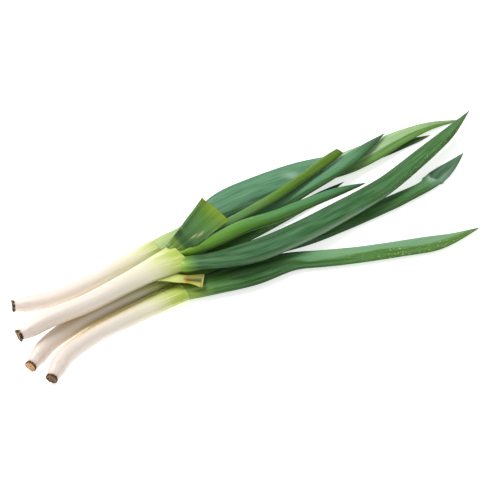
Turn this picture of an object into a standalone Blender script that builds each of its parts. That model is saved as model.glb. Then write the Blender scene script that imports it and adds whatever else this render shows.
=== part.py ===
"""Spring onion bunch: four plants lying together on a flat surface, root ends at -X, tips at +X.

Every shank and leaf is a strand: a route across the surface, seen from above, with a width and a
depth along it. Strands are laid one after another. Each settles on the surface or on the strands
that lie beneath it, so that nothing overlaps and nothing hangs without reason.
Layout values are in millimetres and are turned into metres when a mesh is made.
"""
import math

import bpy
import numpy as np

MM = 0.001

CLEARANCE = 0.45        # left between strands that touch
SIDES = 12              # corners of a strand's cross-section
FINE_STEP = 1.0         # spacing of the stations at which a strand is laid
CELL = 1.0              # cell of the height field
FIELD_X = (-230.0, 290.0)
FIELD_Y = (-110.0, 100.0)
ACROSS = np.linspace(-0.985, 0.985, 17)   # where a section is compared with what lies beneath

ROOT_DISC_LENGTH = 3.2
ROOT_DISC_FIT = 0.93    # of the shank's end width
DISH = 0.4              # depth of a cut end's hollow

COLOURS = {
    "shank": (0.86, 0.82, 0.68),
    "root": (0.22, 0.11, 0.05),
    "leaf_blue": (0.10, 0.26, 0.15),
    "leaf_dark": (0.06, 0.20, 0.08),
    "leaf_bright": (0.14, 0.36, 0.08),
    "leaf_cut": (0.17, 0.30, 0.07),
    "leaf_dry": (0.42, 0.33, 0.12),
}


def curve(points, fractions):
    """Catmull-Rom curve through points, sampled at fractions of its chord length."""
    points = np.asarray(points, float)
    chords = np.linalg.norm(np.diff(points[:, :2], axis=0), axis=1)
    knots = np.concatenate([[0.0], np.cumsum(chords)])
    knots = knots / knots[-1]
    slopes = np.gradient(points, knots, axis=0)
    piece = np.clip(np.searchsorted(knots, fractions, side="right") - 1, 0, len(knots) - 2)
    span = (knots[piece + 1] - knots[piece])[:, None]
    u = ((fractions - knots[piece])[:, None]) / span
    return ((2 * u**3 - 3 * u**2 + 1) * points[piece]
            + (u**3 - 2 * u**2 + u) * span * slopes[piece]
            + (3 * u**2 - 2 * u**3) * points[piece + 1]
            + (u**3 - u**2) * span * slopes[piece + 1])


def profile(pairs, fractions):
    """Value along a strand from (fraction, value) pairs, eased between them without overshoot."""
    knots, values = np.asarray(pairs, float).T
    steps = np.diff(values) / np.diff(knots)
    slopes = np.concatenate([steps[:1], np.zeros(len(steps) - 1), steps[-1:]])
    for k in range(1, len(steps)):
        if steps[k - 1] * steps[k] > 0:
            slopes[k] = 2 * steps[k - 1] * steps[k] / (steps[k - 1] + steps[k])
    piece = np.clip(np.searchsorted(knots, fractions, side="right") - 1, 0, len(knots) - 2)
    span = knots[piece + 1] - knots[piece]
    u = (fractions - knots[piece]) / span
    return ((2 * u**3 - 3 * u**2 + 1) * values[piece]
            + (u**3 - 2 * u**2 + u) * span * slopes[piece]
            + (3 * u**2 - 2 * u**3) * values[piece + 1]
            + (u**3 - u**2) * span * slopes[piece + 1])


def window(values, half, pick):
    """Running pick, such as np.max or np.mean, over half stations on either side."""
    padded = np.pad(values, half, mode="edge")
    return pick(np.lib.stride_tricks.sliding_window_view(padded, 2 * half + 1), axis=1)


class Strand:
    """A shank or a leaf, as sections along a route: half width, half depth and roll.

    lift is the least height of its middle line. stiffness is how many stations a bend is spread
    over. grows_from names the shank that it comes out of, which its base isn't laid over.
    """

    def __init__(self, name, colour, route, width, depth, roll=0.0, lift=None,
                 stiffness=14, grows_from=(), rings=22):
        self.name = name
        self.colour = colour
        self.lift = lift
        self.stiffness = stiffness
        self.grows_from = grows_from
        self.rings = rings
        rough = curve(route, np.linspace(0.0, 1.0, 400))
        travelled = np.concatenate([[0.0], np.cumsum(np.linalg.norm(np.diff(rough, axis=0), axis=1))])
        self.length = travelled[-1]
        count = int(self.length / FINE_STEP) + 1
        self.along = np.linspace(0.0, 1.0, count)
        self.xy = np.stack([np.interp(self.along * self.length, travelled, rough[:, k])
                            for k in (0, 1)], axis=1)
        heading = np.gradient(self.xy, axis=0)
        heading /= np.linalg.norm(heading, axis=1)[:, None]
        self.side = np.stack([-heading[:, 1], heading[:, 0]], axis=1)
        self.a = np.maximum(profile(width, self.along) / 2, 0.02)
        self.b = np.maximum(profile(depth, self.along) / 2, 0.02)
        pairs = roll if isinstance(roll, (list, tuple)) else [(0.0, roll), (1.0, roll)]
        self.roll = np.radians(profile(pairs, self.along))
        self.z = np.zeros(count)

    def spread(self):
        """Points across each station, with the section's lower and upper height at each."""
        cos, sin = np.cos(self.roll)[:, None], np.sin(self.roll)[:, None]
        a, b = self.a[:, None], self.b[:, None]
        reach = np.sqrt((a * cos)**2 + (b * sin)**2)
        offset = ACROSS[None, :] * reach
        spots = self.xy[:, None, :] + self.side[:, None, :] * offset[:, :, None]
        lean = offset * (a**2 - b**2) * sin * cos / reach**2
        bulge = a * b * np.sqrt(np.maximum(reach**2 - offset**2, 0.0)) / reach**2
        return spots, lean - bulge, lean + bulge

    def ring(self, fraction):
        """Corners of the section at a fraction of the length."""
        x, y, z, side_x, side_y, a, b, roll = (
            np.interp(fraction, self.along, values) for values in
            (self.xy[:, 0], self.xy[:, 1], self.z, self.side[:, 0], self.side[:, 1],
             self.a, self.b, self.roll))
        angles = 2 * math.pi * np.arange(SIDES) / SIDES
        wide, tall = a * np.cos(angles), b * np.sin(angles)
        across = wide * math.cos(roll) - tall * math.sin(roll)
        up = wide * math.sin(roll) + tall * math.cos(roll)
        return np.stack([x + side_x * across, y + side_y * across, z + up], axis=1)


class Surface:
    """Height field of what has been laid so far, kept for each strand by name."""

    def __init__(self):
        self.shape = (int((FIELD_X[1] - FIELD_X[0]) / CELL), int((FIELD_Y[1] - FIELD_Y[0]) / CELL))
        self.tops = {}

    def cells(self, spots):
        i = ((spots[..., 0] - FIELD_X[0]) / CELL).astype(int)
        j = ((spots[..., 1] - FIELD_Y[0]) / CELL).astype(int)
        return np.clip(i, 1, self.shape[0] - 2), np.clip(j, 1, self.shape[1] - 2)

    def height(self, spots, left_out):
        """Highest top in the cell of each spot and in the cells around it."""
        field = np.zeros(self.shape)
        for name, tops in self.tops.items():
            if name not in left_out:
                field = np.maximum(field, tops)
        i, j = self.cells(spots)
        near = [field[i + di, j + dj] for di in (-1, 0, 1) for dj in (-1, 0, 1)]
        return np.max(near, axis=0)

    def add(self, strand):
        field = np.zeros(self.shape)
        spots, _, upper = strand.spread()
        np.maximum.at(field, self.cells(spots), strand.z[:, None] + upper)
        self.tops[strand.name] = field


def lay(strand, surface):
    """Settle a strand: as low as what lies beneath allows, and no more curved than it can be."""
    spots, lower, _ = strand.spread()
    beneath = surface.height(spots, strand.grows_from)
    gap = np.where(beneath > 0.0, CLEARANCE, 0.0)
    need = np.max(beneath + gap - lower, axis=1)
    if strand.lift:
        need = np.maximum(need, profile(strand.lift, strand.along))
    strand.z = window(window(need, strand.stiffness, np.max), strand.stiffness, np.mean)
    surface.add(strand)


# ---------------------------------------------------------------- the four plants

def shanks():
    """White stems of plants a to d, from the root end to the mouth of the sheath."""
    return {
        "a": Strand("shank_a", "shank", [(-178, 38), (-157, 31), (-125, 30), (-92, 34), (-64, 38)],
                    [(0, 9.5), (0.08, 12), (0.6, 12.6), (0.85, 14), (1, 16)],
                    [(0, 9.5), (0.08, 12), (0.6, 12.4), (1, 10.5)], rings=18),
        "b": Strand("shank_b", "shank", [(-189, -1), (-165, 1), (-140, 0), (-105, 3), (-80, 6), (-59, 8)],
                    [(0, 10), (0.08, 13), (0.5, 14.5), (0.75, 17.5), (1, 27)],
                    [(0, 10), (0.08, 13), (0.6, 14.2), (0.85, 14), (1, 11.5)],
                    stiffness=20, rings=20),
        "c": Strand("shank_c", "shank", [(-191, -20), (-176, -10), (-152, -3), (-115, 2), (-68, 5)],
                    [(0, 9.5), (0.08, 12), (0.5, 13), (0.8, 13.6), (1, 16)],
                    [(0, 9.5), (0.08, 12), (0.5, 12.8), (1, 11)], rings=18),
        "d": Strand("shank_d", "shank", [(-183, -38), (-168, -26), (-146, -19.5), (-105, -15.5), (-69, -13)],
                    [(0, 9.5), (0.08, 12), (0.6, 13), (0.8, 14.5), (1, 17)],
                    [(0, 9.5), (0.08, 12), (0.6, 12.6), (1, 11)], rings=18),
    }


def lower_leaves():
    """Leaves of plants a, c and d, which lie on the surface or one deep."""
    return [
        Strand("leaf_a_lower", "leaf_dark",
               [(-57, 39), (-20, 44), (50, 44), (119, 44.5), (170, 44), (212, 42)],
               [(0, 8), (0.4, 12), (0.8, 12), (0.95, 6), (1, 0)],
               [(0, 4), (0.3, 4.5), (0.8, 3.5), (1, 0.6)], grows_from=("shank_a",)),
        Strand("leaf_a_broad", "leaf_blue",
               [(-61, 38), (-40, 41), (-4, 50), (46, 52), (90, 49), (122, 44), (145, 44.5), (188, 49),
                (225, 50), (251, 44)],
               [(0, 14), (0.1, 21), (0.3, 28), (0.6, 24), (0.75, 18), (0.9, 9), (1, 0)],
               [(0, 5), (0.3, 6), (0.7, 4), (1, 0.8)], roll=[(0, 6), (0.3, 9), (0.7, 4), (1, 0)],
               grows_from=("shank_a",), rings=26),
        Strand("leaf_c_short", "leaf_bright",
               [(-63, 9), (-12, 14), (25, 17), (62, 22), (90, 26.5), (114, 30.5)],
               [(0, 6), (0.3, 11), (0.7, 11.5), (0.9, 6), (1, 0)],
               [(0, 4), (0.3, 5), (0.8, 3.5), (1, 0.6)], grows_from=("shank_c",)),
        Strand("leaf_c_kinked", "leaf_dark",
               [(-64, 0), (-38, -2), (7, -5), (54, -11), (101, -12), (148, -11), (165, -10), (184, -5),
                (205, 2), (222, 9)],
               [(0, 8), (0.2, 13), (0.4, 15.5), (0.65, 15.5), (0.79, 12.5), (0.84, 14.5), (0.93, 9), (1, 0)],
               [(0, 5), (0.3, 6), (0.7, 5), (0.85, 3.5), (1, 0.6)], grows_from=("shank_c",), rings=26),
        Strand("leaf_d", "leaf_dark",
               [(-66, -13), (-42, -18), (-8, -24), (25, -28), (49, -38), (76, -48.5), (108, -59.5),
                (141, -69), (177, -71)],
               [(0, 14), (0.1, 20), (0.22, 24.5), (0.42, 18), (0.8, 17), (0.92, 8), (1, 0)],
               [(0, 9), (0.2, 9), (0.45, 7), (0.8, 5), (1, 0.6)], grows_from=("shank_d",), rings=26),
        Strand("leaf_c_upper", "leaf_blue",
               [(-61, 9), (-27, 18), (20, 24), (64, 30), (107, 36), (140, 45), (173, 56)],
               [(0, 7), (0.2, 11.5), (0.5, 15), (0.75, 15), (0.9, 8), (1, 0)],
               [(0, 5), (0.3, 7), (0.8, 5), (1, 0.6)], grows_from=("shank_c",)),
    ]


def upper_leaves():
    """Leaves of plant b, which lie over the others."""
    return [
        Strand("leaf_b_dry", "leaf_dry",
               [(-67, -8), (-62, -10.5), (-56, -14), (-49, -19)],
               [(0, 10), (0.35, 8), (1, 14)], [(0, 2), (0.3, 3), (1, 3)], grows_from=("shank_b",),
               lift=[(0, 16), (1, 14)], stiffness=4, rings=8),
        Strand("leaf_b_main", "leaf_dark",
               [(-54, -1.5), (-37, -8), (-4, -14), (36, -13), (81, -8), (128, -1), (182, 15), (219, 28),
                (255, 44)],
               [(0, 10), (0.08, 16), (0.2, 22), (0.4, 21.5), (0.7, 17), (0.86, 12.5), (0.94, 6), (1, 0)],
               [(0, 8), (0.2, 11), (0.5, 9), (0.8, 6), (1, 0.6)], grows_from=("shank_b",),
               lift=[(0, 20), (0.12, 17), (0.35, 13), (0.8, 10.5), (1, 9)], rings=30),
        Strand("leaf_b_slim", "leaf_bright",
               [(-56, 16), (-30, 18), (5, 21.5), (30, 26.5), (72, 36), (121, 50)],
               [(0, 5.5), (0.3, 9.5), (0.7, 9), (0.92, 10), (1, 8)],
               [(0, 6), (0.3, 7), (0.7, 5.5), (1, 3)], grows_from=("shank_b",),
               lift=[(0, 21), (0.3, 19), (1, 8)], rings=18),
        Strand("leaf_b_middle", "leaf_bright",
               [(-56, 8), (-35, 5), (-15, 7), (17, 9.5), (52, 12), (100, 14), (124, 12.5)],
               [(0, 6), (0.12, 10), (0.25, 13), (0.5, 12.5), (0.8, 10), (0.93, 5), (1, 0)],
               [(0, 7), (0.3, 8.5), (0.8, 6), (1, 0.6)], grows_from=("shank_b",),
               lift=[(0, 21), (0.2, 19), (1, 8)]),
        Strand("leaf_b_cut", "leaf_cut",
               [(-55, 9), (-43, 12.5), (-27, 19.5), (-12, 26.5)],
               [(0, 15), (0.3, 19), (1, 28)], [(0, 3), (1, 2.4)], roll=24,
               lift=[(0, 29), (1, 34)], stiffness=8, rings=12),
    ]


def root_disc(shank):
    """Stub at a shank's root end, as rings that shrink to a small flat face."""
    start = shank.ring(0.0)
    inner = shank.ring(4.0 / shank.length)
    axis = start.mean(axis=0) - inner.mean(axis=0)
    axis /= np.linalg.norm(axis)
    centre = start.mean(axis=0)
    rings = []
    for reach, size in ((0.0, 1.0), (0.35, 1.03), (0.75, 0.9), (1.0, 0.62)):
        rings.append(centre + (start - centre) * ROOT_DISC_FIT * size
                     + axis * (CLEARANCE + reach * ROOT_DISC_LENGTH))
    return rings[::-1]


# ---------------------------------------------------------------- meshes

def loft(name, rings, colour, tip=None):
    """Closed solid through rings. Cut ends are dished, and tip is the point of a pointed end."""
    sides = len(rings[0])
    corners = [tuple(point) for ring in rings for point in ring]
    faces = []
    for r in range(len(rings) - 1):
        for k in range(sides):
            n = (k + 1) % sides
            faces.append((r * sides + k, r * sides + n, (r + 1) * sides + n, (r + 1) * sides + k))
    last = (len(rings) - 1) * sides
    corners.append(tuple(dished_centre(rings[0], rings[1])))
    corners.append(tuple(dished_centre(rings[-1], rings[-2]) if tip is None else tip))
    for k in range(sides):
        n = (k + 1) % sides
        faces.append((n, k, len(corners) - 2))
        faces.append((last + k, last + n, len(corners) - 1))
    mesh = bpy.data.meshes.new(name)
    mesh.from_pydata(corners, [], faces)
    mesh.materials.append(material(colour))
    node = bpy.data.objects.new(name, mesh)
    bpy.context.scene.collection.objects.link(node)
    return node


def dished_centre(end, inside):
    """Middle of an end ring, pushed a little towards the ring inside it."""
    middle = end.mean(axis=0)
    inward = inside.mean(axis=0) - middle
    return middle + inward / np.linalg.norm(inward) * DISH * MM


def material(colour):
    """One plain Principled material for each colour name."""
    found = bpy.data.materials.get(colour)
    if found:
        return found
    made = bpy.data.materials.new(colour)
    made.use_nodes = True
    shader = made.node_tree.nodes["Principled BSDF"]
    shader.inputs["Base Color"].default_value = (*COLOURS[colour], 1.0)
    shader.inputs["Roughness"].default_value = 0.45
    shader.inputs["Metallic"].default_value = 0.0
    made.diffuse_color = (*COLOURS[colour], 1.0)
    return made


def build_strand(strand, origin):
    pointed = strand.a[-1] < 0.5
    fractions = np.linspace(0.0, 1.0, strand.rings)
    if pointed:
        fractions = fractions[:-1]
    rings = [(strand.ring(f) - origin) * MM for f in fractions]
    tip = (np.append(strand.xy[-1], strand.z[-1]) - origin) * MM if pointed else None
    return loft(strand.name, rings, strand.colour, tip)


def settle_bunch():
    """All strands in the order they are laid, and the rings of each plant's root disc."""
    stems = shanks()
    strands = [stems["a"], stems["c"], stems["d"], *lower_leaves(), stems["b"], *upper_leaves()]
    surface = Surface()
    for strand in strands:
        lay(strand, surface)
    return strands, {f"root_disc_{key}": root_disc(stem) for key, stem in stems.items()}


def bunch_origin(strands, discs):
    """Middle of the bunch on the surface it lies on."""
    rings = [strand.ring(f) for strand in strands for f in np.linspace(0.0, 1.0, strand.rings)]
    for disc in discs.values():
        rings.extend(disc)
    points = np.concatenate(rings)
    low, high = points.min(axis=0), points.max(axis=0)
    return np.array([(low[0] + high[0]) / 2, (low[1] + high[1]) / 2, low[2]])


def main():
    for old in list(bpy.data.objects):
        bpy.data.objects.remove(old, do_unlink=True)
    strands, discs = settle_bunch()
    origin = bunch_origin(strands, discs)
    for strand in strands:
        build_strand(strand, origin)
    for name, rings in discs.items():
        loft(name, [(ring - origin) * MM for ring in rings], "root")


main()
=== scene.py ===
"""Looks of the spring onion bunch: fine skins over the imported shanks, leaves and root discs.

Each CAD strand is read back as a spine: the middle of each of its rings, with the two half-axes of
the ring's ellipse. A skin is a fine grid of points swept along that spine, shaped further by veins,
creases, sheath rims and cut ends. Lengths are in metres; MM turns millimetres into them.
"""
import math

import bpy
import numpy as np
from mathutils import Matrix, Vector, noise


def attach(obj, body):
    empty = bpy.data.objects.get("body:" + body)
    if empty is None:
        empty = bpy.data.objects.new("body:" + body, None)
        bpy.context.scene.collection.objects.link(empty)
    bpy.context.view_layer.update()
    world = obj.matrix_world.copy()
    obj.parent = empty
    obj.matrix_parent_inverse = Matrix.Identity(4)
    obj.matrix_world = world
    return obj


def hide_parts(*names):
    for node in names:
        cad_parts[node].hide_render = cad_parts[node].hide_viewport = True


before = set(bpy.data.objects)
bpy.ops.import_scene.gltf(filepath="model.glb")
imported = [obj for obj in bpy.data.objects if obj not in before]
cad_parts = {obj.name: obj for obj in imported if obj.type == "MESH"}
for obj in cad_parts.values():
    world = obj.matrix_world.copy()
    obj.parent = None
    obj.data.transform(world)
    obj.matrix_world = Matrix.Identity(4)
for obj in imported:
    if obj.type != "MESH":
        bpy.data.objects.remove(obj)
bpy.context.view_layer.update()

MM = 0.001
AROUND = 96                 # points around a skin
GRAIN = 10 * MM             # length along a skin that its textures count as 1
ROW = 1.2 * MM              # spacing of a leaf's rows
SHANK_ROW = 0.7 * MM        # spacing of a shank's rows, finer for its sheath rims
LEAF_ROUGHNESS = 0.36       # roughness of a leaf where it has no bloom
CUT_ROW = 0.5 * MM          # spacing of the rows of a leaf that was cut across
ROOT_GRAIN = 4 * MM         # length on a root disc that its textures count as 1
ROOT_ENDS = 17              # root ends on each disc
REST = 0.05 * MM            # lowest height a skin reaches, just clear of the surface it lies on


# ---------------------------------------------------------------- reading the CAD strands

def ring_levels(name):
    """A strand's corners, grouped ring by ring from the end nearest the roots."""
    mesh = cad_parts[name].data
    raw = np.array([v.co for v in mesh.vertices])
    _, first, merged = np.unique(np.round(raw / (0.001 * MM)), axis=0,
                                 return_index=True, return_inverse=True)
    merged = merged.ravel()
    spots = raw[first]
    near = [set() for _ in spots]
    for edge in mesh.edges:
        a, b = (merged[v] for v in edge.vertices)
        near[a].add(b)
        near[b].add(a)
    most = max(len(n) for n in near)
    poles = [v for v in range(len(spots)) if len(near[v]) == most]
    level = {min(poles, key=lambda v: spots[v][0])}
    seen, levels = set(level), []
    while level:
        levels.append(spots[sorted(level)])
        level = set().union(*(near[v] for v in level)) - seen
        seen |= level
    return levels[1:]


def hermite(knots, values, at):
    """Smooth curve through values at knots, carried straight on past either end."""
    slopes = np.gradient(values, knots, axis=0)
    inside = np.clip(at, knots[0], knots[-1])
    piece = np.clip(np.searchsorted(knots, inside, side="right") - 1, 0, len(knots) - 2)
    span = (knots[piece + 1] - knots[piece])[:, None]
    u = (inside - knots[piece])[:, None] / span
    curve = ((2 * u**3 - 3 * u**2 + 1) * values[piece]
             + (u**3 - 2 * u**2 + u) * span * slopes[piece]
             + (3 * u**2 - 2 * u**3) * values[piece + 1]
             + (u**3 - u**2) * span * slopes[piece + 1])
    past = at - inside
    end = np.where(past[:, None] > 0, slopes[-1], slopes[0])
    return curve + past[:, None] * end


class Spine:
    """Middle line of a CAD strand with the two half-axes of its elliptical section."""

    def __init__(self, name):
        levels = ring_levels(name)
        pointed = len(levels[-1]) == 1 and len(levels[-2]) > 1 and "leaf" in name
        rings = [level for level in levels if len(level) > 1]
        middles = [ring.mean(axis=0) for ring in rings]
        heading = np.gradient(np.array(middles), axis=0)
        wide, tall = [], []
        for ring, middle, ahead in zip(rings, middles, heading):
            side = np.array([-ahead[1], ahead[0], 0.0]) / math.hypot(ahead[0], ahead[1])
            up = np.array([0.0, 0.0, 1.0])
            flat = np.stack([(ring - middle) @ side, (ring - middle) @ up], axis=1)
            spread = 2 * flat.T @ flat / len(ring)
            sizes, axes = np.linalg.eigh(spread)
            # a nearly round ring has no sure long axis, so its axes stay level and upright
            if sizes[1] < 1.35 * sizes[0]:
                root = axes @ np.diag(np.sqrt(sizes)) @ axes.T
                first, second = root[:, 0], root[:, 1]
            else:
                first = axes[:, 1] * math.sqrt(sizes[1]) * (1 if axes[0, 1] > 0 else -1)
                second = axes[:, 0] * math.sqrt(sizes[0]) * (1 if axes[1, 0] > 0 else -1)
            wide.append(first[0] * side + first[1] * up)
            tall.append(second[0] * side + second[1] * up)
        tip = levels[-1][0]
        if pointed and np.linalg.norm(tip - middles[-1]) > 2 * MM:
            middles.append(tip)
            wide.append(np.zeros(3))
            tall.append(np.zeros(3))
        self.middle = np.array(middles)
        self.wide = np.array(wide)
        self.tall = np.array(tall)
        gaps = np.linalg.norm(np.diff(self.middle, axis=0), axis=1)
        self.knots = np.concatenate([[0.0], np.cumsum(gaps)])
        self.length = self.knots[-1]

    def at(self, s):
        """Middle and both half-axes at lengths s along the spine."""
        return (hermite(self.knots, self.middle, s), hermite(self.knots, self.wide, s),
                hermite(self.knots, self.tall, s))


# ---------------------------------------------------------------- skins

def ease(low, high, value):
    """0 below low, 1 above high, and smooth between them."""
    u = np.clip((value - low) / (high - low), 0.0, 1.0)
    return u * u * (3 - 2 * u)


def bump_at(value, centre, width):
    """Smooth hump of height 1 round centre."""
    return np.exp(-((value - centre) / width)**2)


def turn_gap(theta, centre):
    """Signed angle from centre to theta, within half a turn."""
    return (theta - centre + math.pi) % (2 * math.pi) - math.pi


def ripple(s, theta, seed, along=40.0, around=1.0, layers=3):
    """Seeded smooth noise that closes round a skin, about -1 to 1."""
    flat = np.empty(s.size)
    coords = zip(s.ravel(), np.cos(theta).ravel(), np.sin(theta).ravel())
    for k, (length, c, d) in enumerate(coords):
        flat[k] = noise.fractal(Vector((length * along + seed * 7.3, c * around, d * around + seed)),
                                1.0, 2.0, layers)
    return flat.reshape(s.shape)


def section(theta, sharp=0.0, hollow=0.0):
    """Unit cross-section: an ellipse whose edges sharpen and whose upper face can be hollowed."""
    x = np.cos(theta)
    y = np.sin(theta)
    y = np.sign(y) * np.abs(y)**(1.0 + sharp)
    y = y - np.where(y > 0, hollow * y, 0.0)
    return x, y


def sweep(spine, s, theta, scale=1.0, flat=1.0, sharp=0.0, hollow=0.0):
    """Points of a skin for grids s and theta. scale, flat, sharp and hollow may be grids too."""
    rows = s[:, 0] if s.ndim == 2 and np.ptp(s, axis=1).max() == 0 else None
    x, y = section(theta, sharp, hollow)
    if rows is not None:
        middle, wide, tall = (part[:, None, :] for part in spine.at(rows))
    else:
        middle, wide, tall = (part.reshape(*s.shape, 3) for part in spine.at(s.ravel()))
    scale = np.broadcast_to(scale, s.shape)[..., None]
    flat = np.broadcast_to(flat, s.shape)[..., None]
    return middle + (wide * x[..., None] + tall * y[..., None] * flat) * scale


def normals_of(points):
    """Outward unit normals of a closed grid of points."""
    ahead = np.gradient(points, axis=0)
    round_ = np.roll(points, -1, axis=1) - np.roll(points, 1, axis=1)
    normal = np.cross(round_, ahead)
    size = np.linalg.norm(normal, axis=-1, keepdims=True)
    return normal / np.maximum(size, 1e-12)


def skin(name, points, tints, end_caps=(False, False)):
    """Mesh from a grid of rows of points, with the values in tints kept as attributes."""
    rows, cols = points.shape[:2]
    corners = points.reshape(-1, 3).copy()
    corners[:, 2] = np.maximum(corners[:, 2], REST)
    r, c = np.meshgrid(np.arange(rows - 1), np.arange(cols), indexing="ij")
    n = (c + 1) % cols
    quads = np.stack([r * cols + c, r * cols + n, (r + 1) * cols + n, (r + 1) * cols + c], axis=-1)
    faces = quads.reshape(-1, 4).tolist()
    if end_caps[0]:
        faces.append(list(range(cols))[::-1])
    if end_caps[1]:
        faces.append(list(range((rows - 1) * cols, rows * cols)))
    mesh = bpy.data.meshes.new(name)
    mesh.from_pydata(corners.tolist(), [], faces)
    for key, values in tints.items():
        kind = "FLOAT_VECTOR" if values.ndim == 3 else "FLOAT"
        field = "vector" if values.ndim == 3 else "value"
        layer = mesh.attributes.new(key, kind, "POINT")
        layer.data.foreach_set(field, np.ascontiguousarray(values, dtype=np.float32).ravel())
    mesh.shade_smooth()
    mesh.update()
    piece = bpy.data.objects.new(name, mesh)
    bpy.context.scene.collection.objects.link(piece)
    return piece


def lie(s, theta):
    """Coordinates that run along and round a skin, for textures that follow its grain."""
    return np.stack([np.cos(theta), np.sin(theta), s / GRAIN], axis=-1)


def grid(first, last, step, cols=AROUND):
    """Grids of length and angle from first to last."""
    rows = max(int((last - first) / step), 4) + 1
    return np.meshgrid(np.linspace(first, last, rows),
                       np.linspace(0, 2 * math.pi, cols, endpoint=False), indexing="ij")


# ---------------------------------------------------------------- materials

def rgb(red, green, blue):
    """Linear colour with alpha from 0-255 display values."""
    return (*[(v / 255 / 12.92) if v <= 10 else ((v / 255 + 0.055) / 1.055)**2.4
              for v in (red, green, blue)], 1.0)


class Nodes:
    """Small helper that adds and links shader nodes."""

    def __init__(self, name):
        self.material = bpy.data.materials.new(name)
        self.material.use_nodes = True
        self.tree = self.material.node_tree
        self.shader = self.tree.nodes["Principled BSDF"]

    def link(self, source, target):
        self.tree.links.new(source, target)

    def attribute(self, name, output="Fac"):
        node = self.tree.nodes.new("ShaderNodeAttribute")
        node.attribute_name = name
        return node.outputs[output]

    def noise(self, vector, scale, detail=4.0, roughness=0.55, stretch=None):
        if stretch:
            mapping = self.tree.nodes.new("ShaderNodeMapping")
            mapping.inputs["Scale"].default_value = stretch
            self.link(vector, mapping.inputs["Vector"])
            vector = mapping.outputs["Vector"]
        node = self.tree.nodes.new("ShaderNodeTexNoise")
        node.inputs["Scale"].default_value = scale
        node.inputs["Detail"].default_value = detail
        node.inputs["Roughness"].default_value = roughness
        self.link(vector, node.inputs["Vector"])
        return node.outputs["Fac"]

    def ramp(self, value, stops):
        node = self.tree.nodes.new("ShaderNodeValToRGB")
        while len(node.color_ramp.elements) < len(stops):
            node.color_ramp.elements.new(0.5)
        for element, (place, colour) in zip(node.color_ramp.elements, sorted(stops)):
            element.position = place
            element.color = colour if isinstance(colour, tuple) else (colour, colour, colour, 1.0)
        self.link(value, node.inputs["Fac"])
        return node.outputs["Color"]

    def maths(self, operation, first, second):
        node = self.tree.nodes.new("ShaderNodeMath")
        node.operation = operation
        for socket, value in zip(node.inputs, (first, second)):
            if isinstance(value, (int, float)):
                socket.default_value = value
            else:
                self.link(value, socket)
        return node.outputs["Value"]

    def mix(self, factor, first, second):
        node = self.tree.nodes.new("ShaderNodeMix")
        node.data_type = "RGBA"
        for key, value in (("Factor_Float", factor), ("A_Color", first), ("B_Color", second)):
            socket = next(s for s in node.inputs if s.identifier == key)
            if isinstance(value, (int, float, tuple)):
                socket.default_value = value
            else:
                self.link(value, socket)
        return next(s for s in node.outputs if s.identifier == "Result_Color")

    def finish(self, colour, roughness, height, depth, subsurface=0.0, radius=(1.0, 1.0, 1.0)):
        self.link(colour, self.shader.inputs["Base Color"])
        self.link(roughness, self.shader.inputs["Roughness"])
        bump = self.tree.nodes.new("ShaderNodeBump")
        bump.inputs["Strength"].default_value = 1.0
        bump.inputs["Distance"].default_value = depth
        self.link(height, bump.inputs["Height"])
        self.link(bump.outputs["Normal"], self.shader.inputs["Normal"])
        self.shader.inputs["Subsurface Weight"].default_value = subsurface
        self.shader.inputs["Subsurface Radius"].default_value = radius
        self.shader.inputs["Subsurface Scale"].default_value = 3 * MM
        return self.material


def leaf_material(name, upper, lower, streak=0.3, bloom=0.25, specks=0.0, worn=rgb(176, 204, 178),
                  deep=rgb(30, 58, 22)):
    """Waxy leaf: colours along it on its upper and lower face, veins, bloom and specks of wear, with
    painted light: the upper face painted as lit, the lower face as shaded, a painted sheen in the bloom and
    painted shade along lower edges and in hollows.
    """
    n = Nodes(name)
    along = n.attribute("along")
    grain = n.attribute("lie", "Vector")
    wander = n.noise(grain, 1.6, 3.0, stretch=(1.0, 1.0, 0.25))
    place = n.maths("ADD", along, n.maths("MULTIPLY", n.maths("SUBTRACT", wander, 0.5), 0.05))
    # upper colours paint the face turned to the light as lit, lower colours paint the other face as shaded
    colour = n.mix(n.attribute("lower"), n.ramp(place, upper), n.ramp(place, lower))
    veins = n.noise(grain, 9.0, 3.0, 0.6, stretch=(1.0, 1.0, 0.02))
    light_veins = n.maths("MULTIPLY", n.ramp(veins, [(0.5, 0.0), (0.72, 1.0)]), streak * 0.5)
    dark_veins = n.maths("MULTIPLY", n.ramp(veins, [(0.28, 1.0), (0.5, 0.0)]), streak * 0.5)
    colour = n.mix(light_veins, colour, rgb(132, 180, 118))
    colour = n.mix(dark_veins, colour, deep)
    blotch = n.noise(grain, 3.0, 4.0, 0.55, stretch=(1.0, 1.0, 0.1))
    patches = n.ramp(blotch, [(0.38, 0.0), (0.66, 1.0)])
    # waxy bloom, weighted to the upper face, so it also paints a pale sheen where light falls
    bloom_and_sheen_mix = n.maths("MULTIPLY", n.maths("MULTIPLY", patches, n.attribute("bloom_and_sheen")), bloom)
    colour = n.mix(bloom_and_sheen_mix, colour, rgb(120, 168, 128))
    # pale mixes in a painted reflection of the floor along leaf_b_main's lower edge, and pale patches on
    # other leaves
    colour = n.mix(n.attribute("pale"), colour, worn)
    # dark mixes in deep as painted shade along lower edges and in hollows, and as darker bands set per leaf
    colour = n.mix(n.attribute("dark"), colour, deep)
    dots = n.ramp(n.noise(grain, 5.0, 2.0, 0.5, stretch=(1.0, 1.0, 1.3)), [(0.63, 0.0), (0.69, 1.0)])
    flecks = n.maths("MULTIPLY", n.maths("MULTIPLY", dots, n.attribute("wear")), specks)
    colour = n.mix(flecks, colour, rgb(206, 214, 150))
    colour = n.mix(n.attribute("dry"), colour, rgb(104, 96, 52))
    rough = n.maths("ADD", n.maths("MULTIPLY", patches, 0.16), LEAF_ROUGHNESS)
    n.shader.inputs["Specular IOR Level"].default_value = 0.28
    return n.finish(colour, rough, veins, 0.1 * MM, 0.05, (0.4, 0.9, 0.2))


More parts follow.
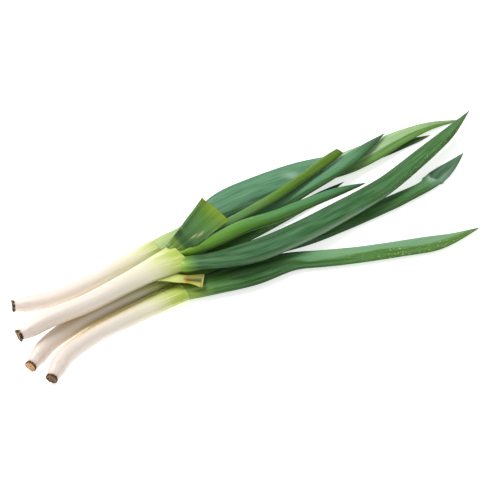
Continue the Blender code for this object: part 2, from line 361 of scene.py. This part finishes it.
def shank_material():
    """White sheath that turns cream and then yellow-green towards its mouth."""
    n = Nodes("shank_skin")
    along = n.attribute("along")
    grain = n.attribute("lie", "Vector")
    wander = n.noise(grain, 1.8, 3.0, stretch=(1.0, 1.0, 0.15))
    place = n.maths("ADD", along, n.maths("MULTIPLY", n.maths("SUBTRACT", wander, 0.5), 0.12))
    colour = n.ramp(place, [(0.0, rgb(230, 216, 206)), (0.5, rgb(232, 223, 211)),
                            (0.74, rgb(230, 225, 198)), (0.87, rgb(216, 220, 156)),
                            (0.95, rgb(196, 208, 110)), (1.0, rgb(164, 190, 74))])
    veins = n.noise(grain, 8.0, 3.0, 0.6, stretch=(1.0, 1.0, 0.02))
    tan = n.ramp(veins, [(0.52, 0.0), (0.8, 1.0)])
    colour = n.mix(n.maths("MULTIPLY", tan, 0.16), colour, rgb(214, 196, 150))
    lime = n.ramp(n.noise(grain, 4.0, 2.0, 0.5, stretch=(1.0, 1.0, 0.05)), [(0.45, 0.0), (0.6, 0.7)])
    near_mouth = n.ramp(along, [(0.8, 0.0), (0.93, 1.0)])
    colour = n.mix(n.maths("MULTIPLY", lime, near_mouth), colour, rgb(158, 184, 56))
    shadow = n.ramp(along, [(0.15, rgb(222, 196, 148)), (0.5, rgb(176, 152, 84)),
                            (0.8, rgb(122, 124, 36))])
    colour = n.mix(n.attribute("shade"), colour, shadow)
    colour = n.mix(n.attribute("rim"), colour, rgb(232, 232, 176))
    colour = n.mix(n.attribute("dry"), colour, rgb(150, 118, 78))
    rough = n.maths("ADD", n.maths("MULTIPLY", wander, 0.2), 0.28)
    return n.finish(colour, rough, veins, 0.08 * MM, 0.22, (1.0, 0.85, 0.6))


def root_material():
    """Corky root disc, tan where it was cut and nearly black at its rim."""
    n = Nodes("root_skin")
    grain = n.attribute("lie", "Vector")
    patch = n.noise(grain, 1.6, 6.0, 0.7)
    face = n.ramp(patch, [(0.34, rgb(150, 96, 52)), (0.46, rgb(222, 164, 106)),
                          (0.7, rgb(244, 206, 158))])
    dark = n.ramp(patch, [(0.42, rgb(20, 12, 8)), (0.52, rgb(66, 42, 26)), (0.6, rgb(140, 104, 70)),
                          (0.68, rgb(216, 192, 160))])
    colour = n.mix(n.attribute("cut"), dark, face)
    rough = n.maths("ADD", n.maths("MULTIPLY", patch, 0.2), 0.65)
    return n.finish(colour, rough, patch, 0.3 * MM, 0.05)


# ---------------------------------------------------------------- pieces

def ride_as(piece, node):
    """The piece stands for a CAD node: it rides on the root body and the CAD node is hidden."""
    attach(piece, "root")
    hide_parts(node)


def shank(letter, shades, rims, flare, swell=0.0, green=1.0):
    """Shank skin with sheath rims, an open oblique mouth and a torn skin near the roots."""
    node = f"shank_{letter}"
    spine = Spine(node)
    seed = ord(letter)
    mouth = spine.length + flare * MM
    s, theta = grid(0.0, 1.0, 1.0 / int(mouth / SHANK_ROW))
    lip = mouth + (1.6 * np.cos(theta - 2.2) + 0.4 * ripple(theta, theta, seed, 0.0, 1.5)) * MM
    root_end = -(2.0 + 0.7 * ripple(theta, theta, seed + 8, 0.0, 1.8)) * MM
    s = root_end + s * (lip - root_end)
    broad = 1 + swell * ease(0.3, 0.8, s / mouth)
    points = sweep(spine, s, theta, scale=broad, flat=1 / broad)
    out = normals_of(points)
    ribs = ripple(s, theta, seed + 3, 6.0, 7.0, 2) * 0.12
    waves = ripple(s, theta, seed + 5, 30.0, 1.0, 2) * 0.22
    step = np.zeros_like(s)
    rim = bump_at(s, lip, 0.9 * MM)
    for place, slant, angle in rims:
        edge = spine.length * place + slant * MM * np.cos(theta - angle)
        edge = edge + 0.8 * MM * ripple(theta, theta, seed + place, 0.0, 2.0)
        step += 0.4 * (1 - ease(edge - 0.35 * MM, edge + 0.35 * MM, s))
        rim = np.maximum(rim, bump_at(s, edge, 0.6 * MM))
    torn = (7 + 5 * ripple(theta, theta, seed + 1, 0.0, 1.6)) * MM
    step += 0.22 * ease(torn - 0.3 * MM, torn + 0.3 * MM, s) - 0.2
    tuck = -0.9 * (1 - ease(-2.5 * MM, 3.0 * MM, s))**2
    creases = -0.35 * ease(0.72, 1.0, s / mouth) * np.abs(np.sin(theta * 4.5 + seed))
    points = points + out * ((ribs + waves + step + tuck + creases) * MM)[..., None]
    inner = []
    for depth, inset in ((0.3, 0.35), (1.5, 0.7), (5.0, 1.2), (8.0, 3.0), (9.0, 6.0)):
        back = sweep(spine, lip[:1] - depth * MM, theta[:1], scale=1 + swell, flat=1 / (1 + swell))
        inward = normals_of(points)[-1]
        inner.append(back[0] - inward * inset * MM)
    points = np.concatenate([points, np.array(inner)])
    extra = len(inner)
    dim = sum(depth * bump_at(turn_gap(theta, angle), 0.0, width) for angle, width, depth in shades)
    values = {
        "along": green * np.concatenate([s / mouth, np.full((extra, AROUND), 0.98)]),
        "lie": np.concatenate([lie(s, theta), lie(s[-1:].repeat(extra, 0), theta[:extra])]),
        "shade": np.concatenate([
            np.clip(dim * ease(0.05, 0.4, s / mouth), 0, 1),
            np.full((extra, AROUND), 0.3)]),
        "rim": np.concatenate([0.4 * rim, np.zeros((extra, AROUND))]),
        "dry": np.concatenate([0.7 * bump_at(s, root_end, 0.8 * MM) + 0.12 * bump_at(s, torn, 0.4 * MM),
                               np.zeros((extra, AROUND))]),
    }
    piece = skin(f"{node}_skin", points, values, end_caps=(True, True))
    piece.data.materials.append(bpy.data.materials.get("shank_skin") or shank_material())
    ride_as(piece, node)
    return spine


def homeward(spine, s, tuck, reach, home):
    """Shift, in a grid of rows, that draws a leaf's base into the mouth of its sheath."""
    if home is None:
        return 0.0
    sheath, depth, offset = home
    target = sheath.at(np.array([sheath.length - depth * MM]))[0][0] + np.array(offset) * MM
    start = spine.at(np.array([-tuck * MM]))[0][0]
    pull = 1 - ease(-tuck * MM, reach * MM, s)
    return (target - start) * pull[..., None]


def face_place(points):
    """Place across a leaf: -1 at its upper back edge, 0 along its middle, 1 at its lower front edge."""
    offset = (points - points.mean(axis=1, keepdims=True)) @ np.array((0.0, 0.65, 0.76))
    return -offset / np.maximum(np.abs(offset).max(axis=1, keepdims=True), 1e-9)


def backward(front):
    """1 on the back edge and 0 on the front edge."""
    return 0.5 - 0.5 * front


def nothing(part, front):
    """No height or tint anywhere."""
    return np.zeros_like(part)


def leaf(node, slot, upper, lower=None, border=((0.0, 0.3), (1.0, 0.3)), soft=0.35, sharp=(0.0, 0.5),
         tuck=8.0, reach=12.0, base=0.75, home=None, shape=nothing, pale=nothing, dark=nothing,
         specks=0.0, streak=0.3, bloom=0.25, dry_tip=2.5, wave=0.35, girth=None, **finish):
    """Leaf skin from inside its sheath to its tip.

    upper and lower are colours along the leaf on either side of border, which is given as pairs of
    a place along the leaf and a place across its face. shape is a height in millimetres.
    """
    spine = Spine(node)
    seed = sum(map(ord, node)) % 97
    s, theta = grid(-tuck * MM, spine.length, ROW)
    part = np.clip(s / spine.length, 0.0, 1.0)
    edge = sharp[0] + (sharp[1] - sharp[0]) * ease(0.1, 0.8, part)
    front = face_place(sweep(spine, s, theta, sharp=edge))
    scale = base + (1 - base) * ease(-tuck * MM, 4 * MM, s)
    if girth:
        scale = scale * girth(part, front)
    points = sweep(spine, s, theta, scale=scale, sharp=edge) + homeward(spine, s, tuck, reach, home)
    out = normals_of(points)
    room = np.minimum(1.0, (1 - part) * 6)
    height = ripple(s, theta, seed, 22.0, 0.9, 2) * wave + ripple(s, theta, seed + 9, 5.0, 6.0, 2) * 0.14
    height = height + shape(part, front)
    points = points + out * (height * room * MM)[..., None]
    line = np.interp(part, *zip(*border)) + 0.12 * ripple(s, theta * 0, seed + 4, 45.0, 1.0, 2)
    values = {
        "along": part,
        "lie": lie(s, theta),
        # lower picks the face painted as shaded, against the upper face painted as lit
        "lower": ease(-soft, soft, front - line) if lower else np.zeros_like(part),
        # bloom with a painted sheen: stronger on the upper face, where light falls
        "bloom_and_sheen": 0.4 + 0.6 * ease(-0.6, 0.9, np.sin(theta)),
        "wear": ease(0.45, 0.75, part) * ease(-0.2, 0.3, front - line + 0.15),
        "pale": np.clip(pale(part, front), 0, 1),
        # painted shade along the lower front edge of every leaf, added to the darker bands each leaf sets
        "dark": np.clip(dark(part, front) + 0.4 * bump_at(front, 1.0, 0.22), 0, 1),
        "dry": ease(-dry_tip * MM, 0.0, s - spine.length) * 0.8,
    }
    piece = skin(f"{node}_skin", points, values, end_caps=(True, True))
    piece.data.materials.append(leaf_material(f"{node}_green", upper, lower or upper, streak, bloom,
                                              specks, **finish))
    ride_as(piece, node)


def open_leaf(node, slot, upper, wall, mouth, tuck, reach, base, home, shape=nothing, pale=nothing,
              dark=nothing, hollow=0.0, **finish):
    """Short leaf cut across, with a wall, a rim at the cut and a hollow behind it."""
    spine = Spine(node)
    s, theta = grid(-tuck * MM, spine.length, CUT_ROW)
    part = np.clip(s / spine.length, 0.0, 1.0)
    front = face_place(sweep(spine, s, theta))
    scale = base + (1 - base) * ease(-tuck * MM, 5 * MM, s)
    bend = hollow * ease(0.0, 0.5, part)
    points = sweep(spine, s, theta, scale=scale, sharp=0.35, hollow=bend)
    shift = homeward(spine, s, tuck, reach, home)
    shift = shift + normals_of(points) * (shape(part, front) * MM)[..., None]
    points = points + shift
    rows = int(mouth * MM / CUT_ROW + 0.5)
    core = sweep(spine, s, theta, scale=scale * (1 - 0.15 * wall), flat=1 - wall, sharp=0.35, hollow=bend)
    inner = (core + shift)[::-1][:rows]
    points = np.concatenate([points, inner])
    inside = np.zeros((rows, AROUND))
    part = np.concatenate([part, part[::-1][:rows]])
    front = np.concatenate([front, front[::-1][:rows]])
    shown = np.concatenate([np.ones_like(s), inside])
    values = {
        "along": part,
        "lie": lie(part * spine.length, np.concatenate([theta, theta[:rows]])),
        "lower": np.zeros_like(part),
        "bloom_and_sheen": 0.5 * shown,
        "wear": np.zeros_like(part),
        "pale": np.clip(pale(part, front) * shown, 0, 1),
        # the inner wall is painted dark as shade inside the hollow
        "dark": np.clip(dark(part, front) * shown + 0.7 * (1 - shown) * ease(1.0, 0.9, part), 0, 1),
        "dry": np.zeros_like(part),
    }
    piece = skin(f"{node}_skin", points, values, end_caps=(True, True))
    piece.data.materials.append(leaf_material(f"{node}_green", upper, upper, **finish))
    ride_as(piece, node)


def root_disc(letter, cut):
    """Root disc with a lumpy dark rim, a dished face of its own and short dried root ends."""
    node = f"root_disc_{letter}"
    seed = ord(letter) * 3
    rings = [level for level in ring_levels(node) if len(level) > 1]
    face, back = rings[0].mean(axis=0), rings[-1].mean(axis=0)
    ahead = (face - back) / np.linalg.norm(face - back)
    side = np.cross(ahead, (0.0, 0.0, 1.0))
    side /= np.linalg.norm(side)
    up = np.cross(side, ahead)
    radius = np.linalg.norm(rings[-1] - back, axis=1).mean() * 1.04
    # outline from the shank's end round to the middle of the face: distance out, distance ahead
    outline = [(0.8, 0.3), (0.9, 1.4), (0.97, 2.0), (0.97, 2.5), (0.9, 2.95), (0.82, 2.9), (0.75, 2.5),
               (0.6, 2.35), (0.45, 2.45), (0.3, 2.55), (0.15, 2.6), (0.02, 2.6)]
    outline = np.array(outline)
    fine = hermite(np.arange(len(outline), dtype=float), outline, np.linspace(0, len(outline) - 1, 60))
    out, theta = np.meshgrid(fine[:, 0], np.linspace(0, 2 * math.pi, 72, endpoint=False), indexing="ij")
    on, _ = np.meshgrid(fine[:, 1], theta[0], indexing="ij")
    lumps = ripple(out * 0.01, theta, seed, 90.0, 2.2, 4)
    out = out * radius * (1 + 0.12 * lumps * ease(0.5, 0.9, out))
    on = (on + 0.55 * ripple(out, theta, seed + 2, 300.0, 1.6, 4) * ease(0.0, 1.2, on)) * MM
    points = back + side * (out * np.cos(theta))[..., None] + up * (out * np.sin(theta))[..., None]
    points = points + ahead * on[..., None]
    fresh = ease(0.88, 0.76, out / radius) * cut
    values = {"lie": lie(on * 4, theta) + points / ROOT_GRAIN, "cut": np.clip(fresh, 0, 1)}
    piece = skin(f"{node}_skin", points, values, end_caps=(False, True))
    piece.data.materials.append(bpy.data.materials.get("root_skin") or root_material())
    ride_as(piece, node)
    root_ends(letter, back, ahead, side, up, radius, seed)


def root_ends(letter, back, ahead, side, up, radius, seed):
    """Short curled ends of the trimmed roots, round the rim of a root disc."""
    random = np.random.default_rng(seed)
    lengths = np.linspace(0.0, 1.0, 9)
    tubes, tint = [], []
    for k in range(ROOT_ENDS):
        angle = 2 * math.pi * (k + random.uniform(-0.3, 0.3)) / ROOT_ENDS
        outward = side * math.cos(angle) + up * math.sin(angle)
        start = back + outward * radius * random.uniform(0.62, 0.96) + ahead * 1.6 * MM
        reach = random.uniform(1.4, 2.8) * MM
        curl = random.uniform(-1.0, 1.0)
        lean = ahead * random.uniform(0.2, 0.8) + outward * random.uniform(0.2, 0.5)
        across = np.cross(lean, outward)
        across /= max(np.linalg.norm(across), 1e-6)
        line = [start + lean * reach * u + (across * curl * 0.5 - outward * 0.25) * reach * u * u
                for u in lengths]
        tubes.append(tube(np.array(line), random.uniform(0.28, 0.42) * MM))
        tint.append(random.uniform(0.0, 0.5))
    piece = join_tubes(f"root_ends_{letter}", tubes, tint)
    piece.data.materials.append(bpy.data.materials["root_skin"])
    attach(piece, "root")


def tube(line, radius, sides=8):
    """Grid of rows of a thin tapering tube along a line."""
    ahead = np.gradient(line, axis=0)
    ahead /= np.linalg.norm(ahead, axis=1)[:, None]
    first = np.cross(ahead, (0.31, 0.2, 0.93))
    first /= np.linalg.norm(first, axis=1)[:, None]
    second = np.cross(ahead, first)
    angles = np.linspace(0, 2 * math.pi, sides, endpoint=False)
    size = radius * np.linspace(1.0, 0.45, len(line))
    return (line[:, None, :] + size[:, None, None] * (first[:, None, :] * np.cos(angles)[None, :, None]
                                                      + second[:, None, :] * np.sin(angles)[None, :, None]))


def join_tubes(name, tubes, tint):
    """One mesh of several closed tubes."""
    corners, faces, cut = [], [], []
    for rows, shade in zip(tubes, tint):
        base = len(corners)
        count, sides = rows.shape[:2]
        rows[..., 2] = np.maximum(rows[..., 2], REST)
        corners += rows.reshape(-1, 3).tolist()
        cut += [shade] * (count * sides)
        for r in range(count - 1):
            for k in range(sides):
                n = (k + 1) % sides
                faces.append([base + r * sides + k, base + r * sides + n,
                              base + (r + 1) * sides + n, base + (r + 1) * sides + k])
        faces.append([base + k for k in range(sides)][::-1])
        faces.append([base + (count - 1) * sides + k for k in range(sides)])
    mesh = bpy.data.meshes.new(name)
    mesh.from_pydata(corners, [], faces)
    mesh.attributes.new("cut", "FLOAT", "POINT").data.foreach_set("value", np.array(cut, np.float32))
    grain = np.array(corners, np.float32) / ROOT_GRAIN
    mesh.attributes.new("lie", "FLOAT_VECTOR", "POINT").data.foreach_set("vector", grain.ravel())
    mesh.shade_smooth()
    piece = bpy.data.objects.new(name, mesh)
    bpy.context.scene.collection.objects.link(piece)
    return piece


# ---------------------------------------------------------------- build

LIME = rgb(126, 164, 34)

spine_a = shank("a", [(3.5, 0.5, 0.7)], [], 3.0, 0.04, 0.9)
spine_b = shank("b", [(3.6, 0.4, 0.7)], [], 4.0, 0.0, 0.97)
spine_c = shank("c", [(1.8, 0.45, 0.6), (3.25, 0.45, 1.0)], [(0.9, 4.0, 1.0)], 4.0, 0.16)
spine_d = shank("d", [(1.1, 0.4, 1.0)], [(0.88, 4.0, 2.0)], 4.0, 0.14)
for letter, cut in (("a", 0.35), ("b", 0.5), ("c", 1.0), ("d", 0.25)):
    root_disc(letter, cut)

# the pale upper colours from 0.55 to 0.85 are a painted highlight where the leaf twists its face upwards
leaf("leaf_a_broad", "leaf_blue",
     [(0.0, rgb(206, 216, 140)), (0.1, rgb(176, 200, 130)), (0.18, rgb(80, 126, 96)),
      (0.45, rgb(76, 128, 96)), (0.55, rgb(104, 150, 104)), (0.62, rgb(178, 208, 160)),
      (0.85, rgb(168, 198, 136)), (1.0, rgb(110, 150, 80))],
     [(0.0, rgb(200, 210, 130)), (0.1, rgb(120, 150, 60)), (0.18, rgb(36, 76, 34)),
      (0.5, rgb(42, 84, 40)), (0.62, rgb(112, 152, 66)), (0.85, rgb(108, 152, 50)),
      (1.0, rgb(90, 132, 44))],
     border=((0.0, 0.4), (0.5, 0.45), (0.62, 0.3), (0.8, 0.0), (1.0, 0.1)), soft=0.16,
     home=(spine_a, 6, (0, 0, 0)), streak=0.7, bloom=0.4,
     shape=lambda part, front: 0.9 * ease(0.45, 0.6, part) * bump_at(front, 0.15, 0.12),
     pale=lambda part, front: 0.5 * bump_at(part, 0.44 + 0.03 * front, 0.02) * bump_at(front, -0.1, 0.4),
     base=1.05, tuck=6.0,
     girth=lambda part, front: 1 - 0.6 * bump_at(part, 0.11, 0.08) * backward(front))
leaf("leaf_a_lower", "leaf_dark",
     [(0.0, LIME), (0.2, rgb(50, 90, 36)), (1.0, rgb(44, 82, 24))], home=(spine_a, 4, (0, 2, -2)))
leaf("leaf_c_short", "leaf_bright",
     [(0.0, LIME), (0.3, rgb(66, 116, 34)), (0.8, rgb(50, 98, 40)), (1.0, rgb(36, 66, 34))],
     home=(spine_c, 4, (0, 2, -1)))
# the bright colour at 0.835 is a painted highlight along the kink
leaf("leaf_c_kinked", "leaf_dark",
     [(0.0, LIME), (0.15, rgb(42, 86, 22)), (0.5, rgb(52, 102, 38)), (0.74, rgb(66, 116, 56)),
      (0.815, rgb(84, 130, 84)), (0.835, rgb(150, 184, 160)), (0.845, rgb(52, 86, 60)),
      (1.0, rgb(86, 118, 92))],
     [(0.0, LIME), (0.15, rgb(32, 70, 14)), (0.6, rgb(42, 86, 20)), (0.8, rgb(58, 98, 32)),
      (0.85, rgb(120, 150, 128)), (1.0, rgb(56, 84, 58))],
     home=(spine_c, 4, (0, -2, -1)), border=((0.0, 0.0), (0.8, 0.1), (1.0, 0.2)), soft=0.25, streak=0.6,
     shape=lambda part, front: (0.9 * bump_at(part, 0.832 + 0.012 * front, 0.006)
                                - 0.9 * bump_at(part, 0.85 + 0.012 * front, 0.01)),
     girth=lambda part, front: 1 + 0.14 * ease(0.826, 0.842, part - 0.012 * front) * ease(0.99, 0.86, part)
     + 0.7 * ease(0.14, 0.03, part))
# the darker colours up to 0.42 are a painted shadow of leaf_b_main lying over this leaf
leaf("leaf_d", "leaf_dark",
     [(0.0, rgb(176, 200, 70)), (0.03, rgb(130, 168, 40)), (0.1, rgb(58, 100, 26)),
      (0.18, rgb(50, 92, 32)), (0.34, rgb(54, 98, 44)), (0.42, rgb(92, 142, 94)),
      (0.5, rgb(120, 164, 116)), (0.8, rgb(122, 166, 124)), (0.93, rgb(132, 172, 120)),
      (1.0, rgb(84, 120, 50))],
     [(0.0, rgb(170, 194, 60)), (0.1, rgb(60, 106, 14)), (0.2, rgb(34, 76, 10)),
      (0.42, rgb(40, 84, 10)), (0.52, rgb(66, 114, 34)), (0.8, rgb(84, 130, 38)),
      (0.95, rgb(92, 132, 40)), (1.0, rgb(76, 100, 40))],
     border=((0.0, 0.0), (0.1, -0.9), (0.3, -0.7), (0.42, 0.1), (0.5, -0.1), (0.65, -0.4), (0.8, -0.1),
             (0.92, -0.5), (1.0, -0.9)), soft=0.16, home=(spine_d, 4, (0, 0, 0)), specks=0.9, streak=0.6,
     bloom=0.3,
     shape=lambda part, front: (0.8 * ease(0.42, 0.55, part) * bump_at(front, 0.1, 0.12)
                                - 0.9 * ease(0.5, 0.2, part) * bump_at(front, 0.0, 0.2)))
leaf("leaf_c_upper", "leaf_blue",
     [(0.0, LIME), (0.2, rgb(70, 116, 66)), (0.55, rgb(96, 148, 108)), (0.8, rgb(90, 140, 100)),
      (0.9, rgb(58, 98, 58)), (1.0, rgb(44, 74, 40))],
     [(0.0, LIME), (0.2, rgb(44, 86, 26)), (0.6, rgb(42, 88, 20)), (0.85, rgb(52, 96, 42)),
      (1.0, rgb(40, 70, 36))],
     border=((0.0, 0.2), (1.0, 0.2)), soft=0.2, home=(spine_c, 4, (0, 3, 1)), streak=0.5)
leaf("leaf_b_slim", "leaf_bright",
     [(0.0, LIME), (0.25, rgb(88, 132, 78)), (0.45, rgb(90, 130, 56)), (0.62, rgb(84, 122, 12)),
      (1.0, rgb(80, 116, 8))],
     [(0.0, LIME), (0.3, rgb(56, 98, 30)), (0.6, rgb(62, 98, 12)), (1.0, rgb(68, 100, 6))],
     border=((0.0, 0.2), (1.0, 0.3)), home=(spine_b, 5, (0, 5, 0)), dry_tip=0.8, bloom=0.1)
leaf("leaf_b_main", "leaf_dark",
     [(0.0, rgb(160, 196, 60)), (0.012, rgb(110, 150, 34)), (0.03, rgb(50, 92, 44)),
      (0.2, rgb(46, 92, 52)), (0.45, rgb(50, 98, 52)), (0.7, rgb(60, 110, 44)),
      (0.9, rgb(70, 118, 46)), (1.0, rgb(84, 118, 66))],
     [(0.0, rgb(160, 196, 60)), (0.012, rgb(110, 150, 34)), (0.03, rgb(46, 86, 42)),
      (0.3, rgb(42, 86, 38)), (0.6, rgb(50, 96, 32)), (0.8, rgb(56, 98, 24)), (1.0, rgb(66, 94, 44))],
     border=((0.0, 0.3), (1.0, 0.1)), home=(spine_b, 5, (0, -5, -1)), tuck=6.0, specks=0.7,
     girth=lambda part, front: 1 + 0.3 * ease(0.05, 0.0, part),
     streak=0.45, bloom=0.35,
     # pale here is a painted reflection of the floor along the lower front edge
     pale=lambda part, front: (0.55 * bump_at(front, 0.8, 0.16) * ease(0.1, 0.3, part)
                               * ease(0.62, 0.45, part)),
     dark=lambda part, front: 0.35 * bump_at(front, -0.9, 0.3))
leaf("leaf_b_middle", "leaf_bright",
     [(0.0, rgb(150, 192, 50)), (0.1, rgb(98, 146, 26)), (0.3, rgb(86, 140, 48)),
      (0.55, rgb(80, 138, 76)), (0.8, rgb(76, 132, 84)), (1.0, rgb(48, 86, 50))],
     [(0.0, rgb(136, 180, 30)), (0.1, rgb(84, 132, 4)), (0.4, rgb(72, 124, 4)),
      (0.6, rgb(70, 120, 30)), (1.0, rgb(40, 76, 36))],
     border=((0.0, -0.3), (0.5, 0.0), (1.0, 0.3)), soft=0.35, home=(spine_b, 1, (-0.4, 4.5, -1.0)),
     tuck=6.0, base=0.75, reach=16.0,
     streak=0.2, bloom=0.15)
open_leaf("leaf_b_cut", "leaf_cut",
          [(0.0, rgb(112, 140, 52)), (0.05, rgb(66, 102, 44)), (0.12, rgb(62, 98, 44)),
           (0.55, rgb(84, 128, 60)), (0.8, rgb(98, 138, 36)), (1.0, rgb(132, 156, 24))],
          wall=0.6, mouth=2.5, tuck=9.0, reach=14.0, base=0.9, home=(spine_b, 0, (0.3, 6.8, 3.2)),
          shape=lambda part, front: (0.5 * np.sin(part * 6 + front)
                                     - 0.5 * ease(0.3, 0.0, part) * bump_at(np.sin(front * 9), 1.0, 0.5)),
          dark=lambda part, front: (0.5 * bump_at(front, -0.75, 0.22) * ease(0.0, 0.2, part)
                                    + 0.35 * bump_at(part, 0.12, 0.1)),
          pale=lambda part, front: (0.8 * bump_at(front, 0.25, 0.05) * bump_at(part, 0.3, 0.06)
                                    + 0.8 * bump_at(front, 0.45, 0.06) * bump_at(part, 0.42, 0.08)),
          streak=0.6, bloom=0.3, worn=rgb(214, 200, 150))
open_leaf("leaf_b_dry", "leaf_dry",
          [(0.0, rgb(206, 214, 126)), (0.25, rgb(206, 208, 116)), (0.42, rgb(196, 150, 74)),
           (0.55, rgb(188, 180, 84)), (1.0, rgb(196, 196, 104))],
          wall=0.3, mouth=2.0, tuck=14.0, reach=8.0, base=0.85, home=(spine_b, 19, (0, -5.5, -1.5)),
          hollow=1.5,
          # dark here is painted shade in the hollow of the channel
          dark=lambda part, front: 0.85 * ease(0.2, 0.5, part) * bump_at(front, -0.4, 0.42),
          streak=0.5, bloom=0.0, deep=rgb(34, 52, 14))


# ---------------------------------------------------------------- stage

LAMPS = (("key", (-0.35, 0.55, 1.0), 0.6, 13.0), ("fill", (0.5, -1.0, 0.9), 1.2, 3.0))
FLOOR_SIZE = 30.0
AIM = (-29.7 * MM, 4.9 * MM, 10 * MM)       # where the camera looks


def stage():
    """Pale floor, soft lights and a camera at the photograph's viewing angle."""
    bpy.ops.mesh.primitive_plane_add(size=FLOOR_SIZE)
    floor = bpy.context.object
    floor.name = "floor"
    n = Nodes("pale_floor")
    n.shader.inputs["Base Color"].default_value = (0.9, 0.9, 0.9, 1.0)
    n.shader.inputs["Roughness"].default_value = 0.9
    n.shader.inputs["Specular IOR Level"].default_value = 0.0
    n.shader.inputs["Emission Color"].default_value = (1.0, 1.0, 1.0, 1.0)
    n.shader.inputs["Emission Strength"].default_value = 0.6
    floor.data.materials.append(n.material)

    world = bpy.data.worlds.new("studio")
    world.use_nodes = True
    world.node_tree.nodes["Background"].inputs["Color"].default_value = (1.0, 1.0, 1.0, 1.0)
    world.node_tree.nodes["Background"].inputs["Strength"].default_value = 0.4
    bpy.context.scene.world = world
    for name, place, size, power in LAMPS:
        lamp = bpy.data.objects.new(name, bpy.data.lights.new(name, "AREA"))
        lamp.data.size = size
        lamp.data.energy = power
        lamp.location = place
        lamp.rotation_euler = (-Vector(place)).to_track_quat("-Z", "Y").to_euler()
        bpy.context.scene.collection.objects.link(lamp)

    camera = bpy.data.objects.new("camera", bpy.data.cameras.new("camera"))
    camera.data.sensor_width = 36.0
    camera.data.lens = 93.75
    azimuth, elevation, distance = math.radians(-31.0), math.radians(45.0), 1.0
    back = Vector((math.sin(azimuth) * math.cos(elevation), -math.cos(azimuth) * math.cos(elevation),
                   math.sin(elevation)))
    camera.location = Vector(AIM) + back * distance
    camera.rotation_euler = (-back).to_track_quat("-Z", "Y").to_euler()
    bpy.context.scene.collection.objects.link(camera)
    bpy.context.scene.camera = camera
    bpy.context.scene.view_settings.view_transform = "Standard"


stage()
